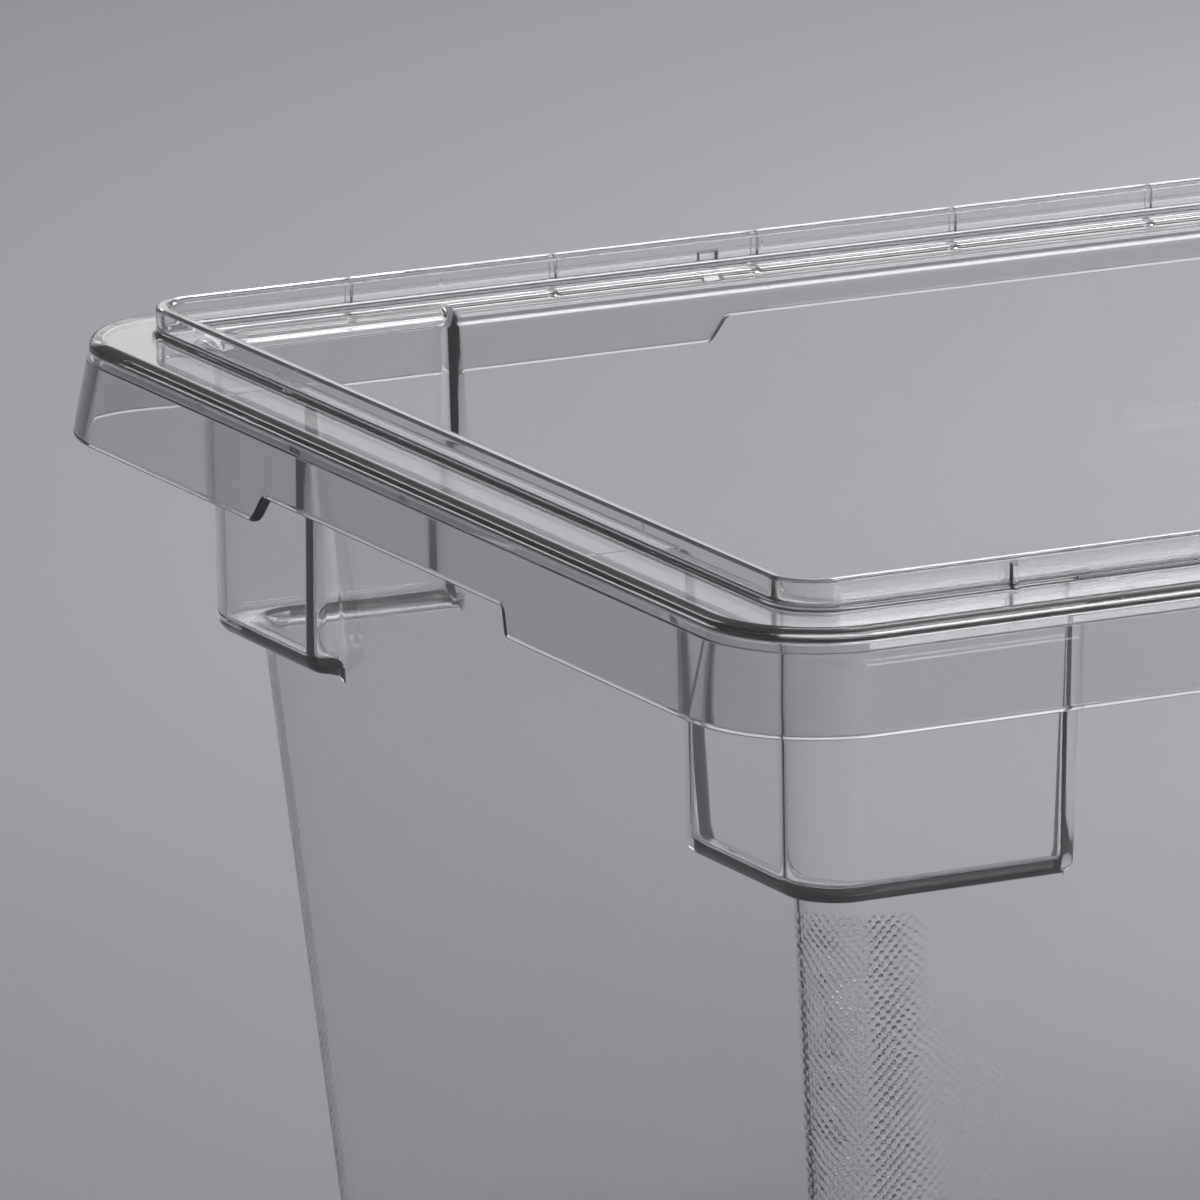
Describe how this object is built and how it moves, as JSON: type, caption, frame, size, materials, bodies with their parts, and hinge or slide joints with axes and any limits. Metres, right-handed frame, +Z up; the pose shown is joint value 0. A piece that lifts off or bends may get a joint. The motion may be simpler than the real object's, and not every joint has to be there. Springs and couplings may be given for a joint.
{
  "type": "food storage box",
  "caption": "Open rectangular food storage box in clear plastic, with tapered walls, corner stacking lugs, a lid bead round the mouth and a hanging skirt with finger grips.",
  "frame": {"origin": "middle of the underside of the floor, on the surface that the box stands on", "axes": "+X along the long side, +Y along the short side, +Z up out of the mouth"},
  "size_m": [0.457, 0.305, 0.229],
  "materials": {
    "clear_plastic": "clear, polished polycarbonate, with a fine pebbled texture at the walls' corners"
  },
  "bodies": {
    "root": {"floor_panel": "clear_plastic", "front_wall": "clear_plastic", "back_wall": "clear_plastic", "left_wall": "clear_plastic", "right_wall": "clear_plastic", "corner_wall_front_left": "clear_plastic", "corner_wall_front_right": "clear_plastic", "corner_wall_back_left": "clear_plastic", "corner_wall_back_right": "clear_plastic", "stacking_lug_front_left": "clear_plastic", "stacking_lug_front_right": "clear_plastic", "stacking_lug_back_left": "clear_plastic", "stacking_lug_back_right": "clear_plastic", "lug_shelf_front_left": "clear_plastic", "lug_shelf_front_right": "clear_plastic", "lug_shelf_back_left": "clear_plastic", "lug_shelf_back_right": "clear_plastic", "front_flange": "clear_plastic", "back_flange": "clear_plastic", "left_flange": "clear_plastic", "right_flange": "clear_plastic", "flange_corner_front_left": "clear_plastic", "flange_corner_front_right": "clear_plastic", "flange_corner_back_left": "clear_plastic", "flange_corner_back_right": "clear_plastic", "front_bead": "clear_plastic", "back_bead": "clear_plastic", "left_bead": "clear_plastic", "right_bead": "clear_plastic", "bead_corner_front_left": "clear_plastic", "bead_corner_front_right": "clear_plastic", "bead_corner_back_left": "clear_plastic", "bead_corner_back_right": "clear_plastic", "front_skirt": "clear_plastic", "back_skirt": "clear_plastic", "left_skirt": "clear_plastic", "right_skirt": "clear_plastic", "skirt_corner_front_left": "clear_plastic", "skirt_corner_front_right": "clear_plastic", "skirt_corner_back_left": "clear_plastic", "skirt_corner_back_right": "clear_plastic", "bead_ribs": "clear_plastic", "lid_catches": "clear_plastic"}
  },
  "joints": []
}
